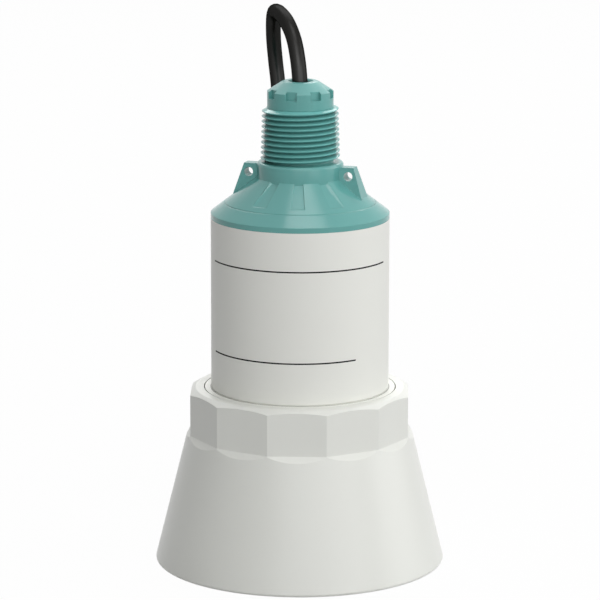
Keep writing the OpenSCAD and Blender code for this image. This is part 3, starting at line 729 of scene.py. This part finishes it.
def strap_section(size):
    """The line that a tie follows round the coil: distance from the coil's axis, height."""
    d = size.cable_d
    inner = size.coil_inner - d / 2
    outer = size.coil_inner + (COIL_COLUMNS - 0.5) * d
    foot, step = COIL_FOOT, COIL_FOOT + size.coil_layers * d
    return [
        (inner + 1.0 * MM, foot - 0.6 * MM),
        (outer - 0.8 * MM, foot - 0.6 * MM),
        (outer + 0.3 * MM, foot - 0.1 * MM),
        (outer + 0.6 * MM, foot + 1.2 * MM),
        (outer + 0.6 * MM, step - 1.6 * MM),
        (outer - 0.1 * MM, step + 0.6 * MM),
        (outer - d + 0.4 * MM, step + d - 0.2 * MM),
        (outer - d - 0.9 * MM, step + d + 0.6 * MM),
        (inner + d + 0.9 * MM, step + d + 0.6 * MM),
        (inner + d - 0.4 * MM, step + d - 0.2 * MM),
        (inner + 0.1 * MM, step + 0.6 * MM),
        (inner - 0.67 * MM, step - 1.6 * MM),
        (inner - 0.67 * MM, foot + 1.2 * MM),
        (inner - 0.3 * MM, foot - 0.1 * MM),
    ]


def tie_strap(name, size, material):
    """The strap of a cable tie, with its edges broken, as a closed band round the coil."""
    line = strap_section(size)
    half_w, half_t = size.tie_width / 2, size.tie_thickness / 2 - 0.05 * MM
    soft_w, soft_t = half_w - STRAP_EDGE, half_t - STRAP_EDGE
    section = [
        (-half_w, -soft_t), (-half_w, soft_t), (-soft_w, half_t), (soft_w, half_t),
        (half_w, soft_t), (half_w, -soft_t), (soft_w, -half_t), (-soft_w, -half_t),
    ]
    n, sides = len(line), len(section)
    verts, faces = [], []
    for i, (r, z) in enumerate(line):
        way = (Vector(line[(i + 1) % n]) - Vector(line[i - 1])).normalized()
        out = Vector((way.y, -way.x))
        verts += [(r + out.x * deep, across, z + out.y * deep) for across, deep in section]
        here, there = sides * i, sides * ((i + 1) % n)
        for j in range(sides):
            k = (j + 1) % sides
            faces.append((here + j, here + k, there + k, there + j))
    return mesh_piece(name, verts, faces, material)


def tie_piece(name, angle, material):
    """One cable tie: a strap round the coil, its head, and the cut end that stands out of it."""
    size = sizes()
    shape = tie_strap(name, size, material)
    top = COIL_FOOT + (size.coil_layers + 1) * size.cable_d
    middle = size.coil_inner + (COIL_COLUMNS - 1) / 2 * size.cable_d
    head = bmesh.new()
    bmesh.ops.create_cube(head, size=1.0)
    bmesh.ops.scale(head, vec=TIE_HEAD, verts=head.verts)
    bmesh.ops.translate(head, vec=(middle, 0, top + 2.1 * MM), verts=head.verts)
    bmesh.ops.bevel(head, geom=head.edges[:], offset=0.7 * MM, segments=3, affect="EDGES")
    tail = bmesh.ops.create_cube(head, size=1.0)["verts"]
    bmesh.ops.scale(head, vec=TIE_END, verts=tail)
    bmesh.ops.translate(head, vec=(middle + 1.2 * MM, 0, top + 3.2 * MM), verts=tail)
    head.from_mesh(shape.data)
    head.to_mesh(shape.data)
    head.free()
    place = Matrix.Translation(COIL_CENTRE) @ Matrix.Rotation(math.radians(angle), 4, "Z")
    shape.data.transform(place)
    shape.data.shade_smooth()
    shape.data.set_sharp_from_angle(angle=math.radians(TIE_SHARP))
    return shape


class TRANSMITTER_OT_cable_end(bpy.types.Operator):
    bl_idname = "transmitter.cable_end"
    bl_label = "Cable end and ties"

    def execute(self, context):
        size = sizes()
        dark = plastic("tie nylon", (0.020, 0.020, 0.021), rough=0.35, grain=3000, tint=0.2)
        finish_node("end_cap", plastic("boot rubber", colours().rubber, rough=0.6, tint=0.2))
        finish_node("lead_ferrules", metal("ferrule tin", (0.72, 0.72, 0.74), 0.3))
        for which, (tint, rgb) in enumerate(CORE_COLOURS.items()):
            core = plastic("core " + tint, rgb, rough=0.38, tint=0.1, edge=0.1 * MM)
            points = smooth_through(lead_points(which), 6)
            lead = tube_curve(f"{tint}_core_end", points, size.core_d, core, sides=3)
            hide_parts("lead_" + tint)
            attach(lead, "transmitter")
        for i, angle in enumerate(TIE_ANGLES):
            tie = tie_piece(f"coil_tie_{i + 1}", angle, dark)
            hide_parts("cable_ties")
            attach(tie, "transmitter")
        return {"FINISHED"}


# ---- the device ----


class TRANSMITTER_OT_hood(bpy.types.Operator):
    """Finishes the hood and the gasket above it"""

    bl_idname = "transmitter.hood"
    bl_label = "Hood"

    def execute(self, context):
        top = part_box("hood")[1].z
        finish_node("hood", plastic("hood", colours().hood, rough=0.32, grain=1500,
                                    tint=0.012, edge=0.35 * MM,
                                    turned=(top - 2.2 * MM, top + MM, 0.02 * MM)))
        finish_node("hood_gasket", plastic("seal", colours().rubber, rough=0.55, tint=0.2))
        return {"FINISHED"}


class TRANSMITTER_OT_antenna(bpy.types.Operator):
    """Finishes the antenna base, its lens and its seal"""

    bl_idname = "transmitter.antenna"
    bl_label = "Antenna base and lens"

    def execute(self, context):
        low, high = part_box("housing")
        # A painted shadow ring on the base's top, just outside the housing's foot
        joint = (high.x + 0.05 * MM, high.x + 0.4 * MM, low.z - 0.1 * MM)
        finish_node("antenna_base", plastic("white base", colours().white, rough=0.42,
                                            tint=0.012, joint=joint))
        finish_node("lens", plastic("lens", colours().lens, rough=0.3, tint=0.02,
                                    subsurface=0.3))
        for node in ("base_o_ring", "cap_o_ring", "cable_seal"):
            finish_node(node, plastic("seal", colours().rubber, rough=0.55, tint=0.2))
        return {"FINISHED"}


def printed_line_tree():
    """A thin printed line as a strip that follows the housing's wall."""
    tree, ins, outs = new_group(
        "printed line",
        [
            ("Radius", FLOAT, 37.67 * MM),
            ("Height", FLOAT, 0.1),
            ("Start angle", FLOAT, -2.5),
            ("Sweep", FLOAT, 2.4),
            ("Width", FLOAT, 0.6 * MM),
            ("Thickness", FLOAT, 0.02 * MM),
            ("Ink", "NodeSocketMaterial", None),
        ],
        [("Geometry", "NodeSocketGeometry")],
        "GeometryNodeTree",
    )
    arc = add(
        tree,
        "GeometryNodeCurveArc",
        {
            "Resolution": 120,
            "Radius": ins["Radius"],
            "Start Angle": ins["Start angle"],
            "Sweep Angle": ins["Sweep"],
        },
        mode="RADIUS",
    )
    lift = add(tree, "ShaderNodeCombineXYZ", {"Z": ins["Height"]})
    raised = add(
        tree,
        "GeometryNodeTransform",
        {"Geometry": arc.outputs[0], "Translation": lift.outputs[0]},
    )
    profile = add(
        tree,
        "GeometryNodeCurvePrimitiveQuadrilateral",
        {"Width": ins["Thickness"], "Height": ins["Width"]},
    )
    strip = add(
        tree,
        "GeometryNodeCurveToMesh",
        {"Curve": raised.outputs[0], "Profile Curve": profile.outputs[0], "Fill Caps": True},
    )
    real = add(tree, "GeometryNodeRealizeInstances", {"Geometry": strip.outputs[0]})
    inked = add(
        tree, "GeometryNodeSetMaterial", {"Geometry": real.outputs[0], "Material": ins["Ink"]}
    )
    tree.links.new(inked.outputs[0], outs.inputs["Geometry"])
    return tree


def grown(name, tree, values):
    """The mesh that a geometry tree makes with these values, as a plain object."""
    host = link(bpy.data.objects.new(name + "_host", bpy.data.meshes.new(name + "_host")))
    modifier = host.modifiers.new("grow", "NODES")
    modifier.node_group = tree
    by_name = {
        item.name: item.identifier
        for item in tree.interface.items_tree
        if item.item_type == "SOCKET" and item.in_out == "INPUT"
    }
    for label, value in values.items():
        modifier[by_name[label]] = value
    context = bpy.context
    context.view_layer.update()
    made = bpy.data.meshes.new_from_object(
        host.evaluated_get(context.evaluated_depsgraph_get()), depsgraph=None
    )
    made.name = name
    bpy.data.objects.remove(host)
    return link(bpy.data.objects.new(name, made))


class TRANSMITTER_OT_housing(bpy.types.Operator):
    """Finishes the housing tube and prints its two plain lines"""

    bl_idname = "transmitter.housing"
    bl_label = "Housing"

    def execute(self, context):
        size = sizes()
        finish_node("housing", plastic("white", colours().white, rough=0.42, tint=0.012))
        ink = plastic("ink", colours().ink, rough=0.6, tint=0.1, edge=0.02 * MM, ior=1.15)
        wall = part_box("housing")[1].x
        tree = printed_line_tree()
        # Each line's height, and where it starts and ends in degrees round from the front
        lines = (("upper", size.upper_line_z, -71, 67.5), ("lower", size.lower_line_z, -70, 38))
        for label, height, start, end in lines:
            line = grown(
                f"{label}_printed_line",
                tree,
                {
                    "Radius": wall + 0.012 * MM,
                    "Height": height,
                    "Start angle": math.radians(start - 90 + CAMERA_TURN),
                    "Sweep": math.radians(end - start),
                    "Width": size.line_width,
                    "Ink": ink,
                },
            )
            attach(line, "transmitter")
        return {"FINISHED"}


# The cap's cone, from the hub to the rim, and the shallow pockets in it. A pocket's floor is
# lifted by so much at the hub and at its end, and the outermost walls slope by so much
HUB_R, RIM_R = 18.2 * MM, 37.65 * MM
CONE_TOP, CONE_DROP = 165.6 * MM, 15 * MM
POCKET_ANGLE, POCKET_END, POCKET_DEPTH = 11.5, 29.5 * MM, 0.95 * MM
POCKET_LIFT, POCKET_SLOPE = (0.2 * MM, 0.65 * MM), 0.8 * MM
POCKET_TURNS = [side + 14.5 + i * 32.6 for side in (-90, 90) for i in (-1, 0, 1)]
# Above this height, on the thread and the ring, edges are finer and grooves get painted shade
THREAD_FOOT = 172.4 * MM
CAP_SHARP = 24


def cone_z(r):
    """Height of the head cap's cone at a distance from the axis."""
    return CONE_TOP - (r - HUB_R) * CONE_DROP / (RIM_R - HUB_R)


class TRANSMITTER_OT_head_cap(bpy.types.Operator):
    """Finishes the moulded head cap, with its turns of thread smoothed"""

    bl_idname = "transmitter.head_cap"
    bl_label = "Head cap"

    def execute(self, context):
        # The teal carries painted shade in the thread's grooves and a painted lift in tone above
        # them
        teal = plastic("teal", colours().teal, rough=0.16, grain=2200, depth=0.008 * MM,
                       spread=0.04, edge=(0.3 * MM, 0.12 * MM, THREAD_FOOT), ior=1.42,
                       groove=(1.6 * MM, 0.95, THREAD_FOOT, 0.3))
        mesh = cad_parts["head_cap"].data.copy()
        mesh.name = "moulded_head_cap"
        shape = bmesh.new()
        shape.from_mesh(mesh)
        bmesh.ops.remove_doubles(shape, verts=shape.verts, dist=1e-6)
        self.soften_pockets(shape)
        shape.to_mesh(mesh)
        shape.free()
        mesh.materials.clear()
        cap = link(bpy.data.objects.new("moulded_head_cap", mesh), teal)
        if mesh.has_custom_normals:
            with context.temp_override(object=cap, active_object=cap, selected_objects=[cap]):
                bpy.ops.mesh.customdata_custom_splitnormals_clear()
        mesh.shade_smooth()
        mesh.set_sharp_from_angle(angle=math.radians(CAP_SHARP))
        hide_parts("head_cap")
        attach(cap, "transmitter")
        return {"FINISHED"}

    def soften_pockets(self, shape):
        """Lifts each pocket's floor, which runs out shallow, and slopes the outermost walls."""
        for vert in shape.verts:
            r = math.hypot(vert.co.x, vert.co.y)
            if not HUB_R - MM < r < POCKET_END + 0.1 * MM:
                continue
            turn = math.degrees(math.atan2(vert.co.y, vert.co.x))
            offs = [(turn - centre + 180) % 360 - 180 for centre in POCKET_TURNS]
            which = min(range(len(offs)), key=lambda i: abs(offs[i]))
            off, sunk = offs[which], cone_z(r) - vert.co.z
            if abs(sunk - POCKET_DEPTH) < 0.2 * MM and abs(off) < POCKET_ANGLE / 2 + 0.1:
                out = (r - HUB_R) / (POCKET_END - HUB_R)
                vert.co.z += POCKET_LIFT[0] + (POCKET_LIFT[1] - POCKET_LIFT[0]) * out
            elif abs(sunk) < 0.15 * MM and abs(abs(off) - POCKET_ANGLE / 2) < 0.05:
                if (which % 3 == 0 and off < 0) or (which % 3 == 2 and off > 0):
                    step = math.copysign(POCKET_SLOPE / r, off)
                    vert.co = Matrix.Rotation(step, 3, "Z") @ vert.co


class TRANSMITTER_OT_gland(bpy.types.Operator):
    """Finishes the gland nut and the ring under it"""

    bl_idname = "transmitter.gland"
    bl_label = "Gland"

    def execute(self, context):
        # The nut's teal carries painted shade in its notches and inner corners
        finish_node("gland_nut", plastic("teal nut", colours().teal, rough=0.30, grain=2200,
                                         depth=0.01 * MM, edge=0.3 * MM, ior=1.42,
                                         groove=(1.2 * MM, 0.25, 0.0, 0.0)))
        finish_node("slip_ring", plastic("slip nylon", (0.62, 0.60, 0.52), rough=0.35))
        return {"FINISHED"}


class TRANSMITTER_OT_electronics(bpy.types.Operator):
    """Finishes the boards and what is on them"""

    bl_idname = "transmitter.electronics"
    bl_label = "Electronics"

    def execute(self, context):
        board = plastic("solder mask", colours().board, rough=0.3, grain=900, tint=0.15,
                        coat=0.3)
        chip = plastic("epoxy", (0.020, 0.020, 0.021), rough=0.5, tint=0.2)
        brass = metal("brass", (0.72, 0.50, 0.20), 0.28)
        looks = {
            "radar_board": board,
            "main_board": board,
            "radar_chip": chip,
            "processor": chip,
            "board_header": chip,
            "feed_horn": brass,
            "board_pillars": brass,
            "board_screws": metal("zinc", (0.60, 0.60, 0.62), 0.32),
            "capacitors": plastic("can sleeve", (0.030, 0.040, 0.120), rough=0.3, tint=0.1),
            "supply_choke": plastic("ferrite", (0.030, 0.030, 0.033), rough=0.6, tint=0.2),
            "terminal_block": plastic("terminal", (0.015, 0.130, 0.035), rough=0.4, tint=0.1),
            "core_brown": plastic("core brown", CORE_COLOURS["brown"]),
            "core_blue": plastic("core blue", CORE_COLOURS["blue"]),
        }
        for node, material in looks.items():
            finish_node(node, material)
        return {"FINISHED"}


class TRANSMITTER_PT_panel(bpy.types.Panel):
    """Lists the operators and what they read"""

    bl_idname = "TRANSMITTER_PT_panel"
    bl_label = "Radar level transmitter"
    bl_space_type = "VIEW_3D"
    bl_region_type = "UI"
    bl_category = "Transmitter"

    def draw(self, context):
        for operator in OPERATORS:
            self.layout.operator(operator.bl_idname)
        for group in (sizes(), colours()):
            column = self.layout.column()
            for name in group.bl_rna.properties.keys():
                if name not in ("rna_type", "name"):
                    column.prop(group, name)


OPERATORS = (
    TRANSMITTER_OT_stage,
    TRANSMITTER_OT_cable,
    TRANSMITTER_OT_cable_end,
    TRANSMITTER_OT_hood,
    TRANSMITTER_OT_antenna,
    TRANSMITTER_OT_housing,
    TRANSMITTER_OT_head_cap,
    TRANSMITTER_OT_gland,
    TRANSMITTER_OT_electronics,
)
CLASSES = (TransmitterSizes, TransmitterColours, *OPERATORS, TRANSMITTER_PT_panel)


def register():
    for made in CLASSES:
        bpy.utils.register_class(made)
    bpy.types.Scene.transmitter_sizes = PointerProperty(type=TransmitterSizes)
    bpy.types.Scene.transmitter_colours = PointerProperty(type=TransmitterColours)


def unregister():
    del bpy.types.Scene.transmitter_colours
    del bpy.types.Scene.transmitter_sizes
    for made in reversed(CLASSES):
        bpy.utils.unregister_class(made)


def main():
    register()
    for operator in OPERATORS:
        group, name = operator.bl_idname.split(".")
        getattr(getattr(bpy.ops, group), name)()
    bpy.context.view_layer.update()


if __name__ == "__main__":
    main()
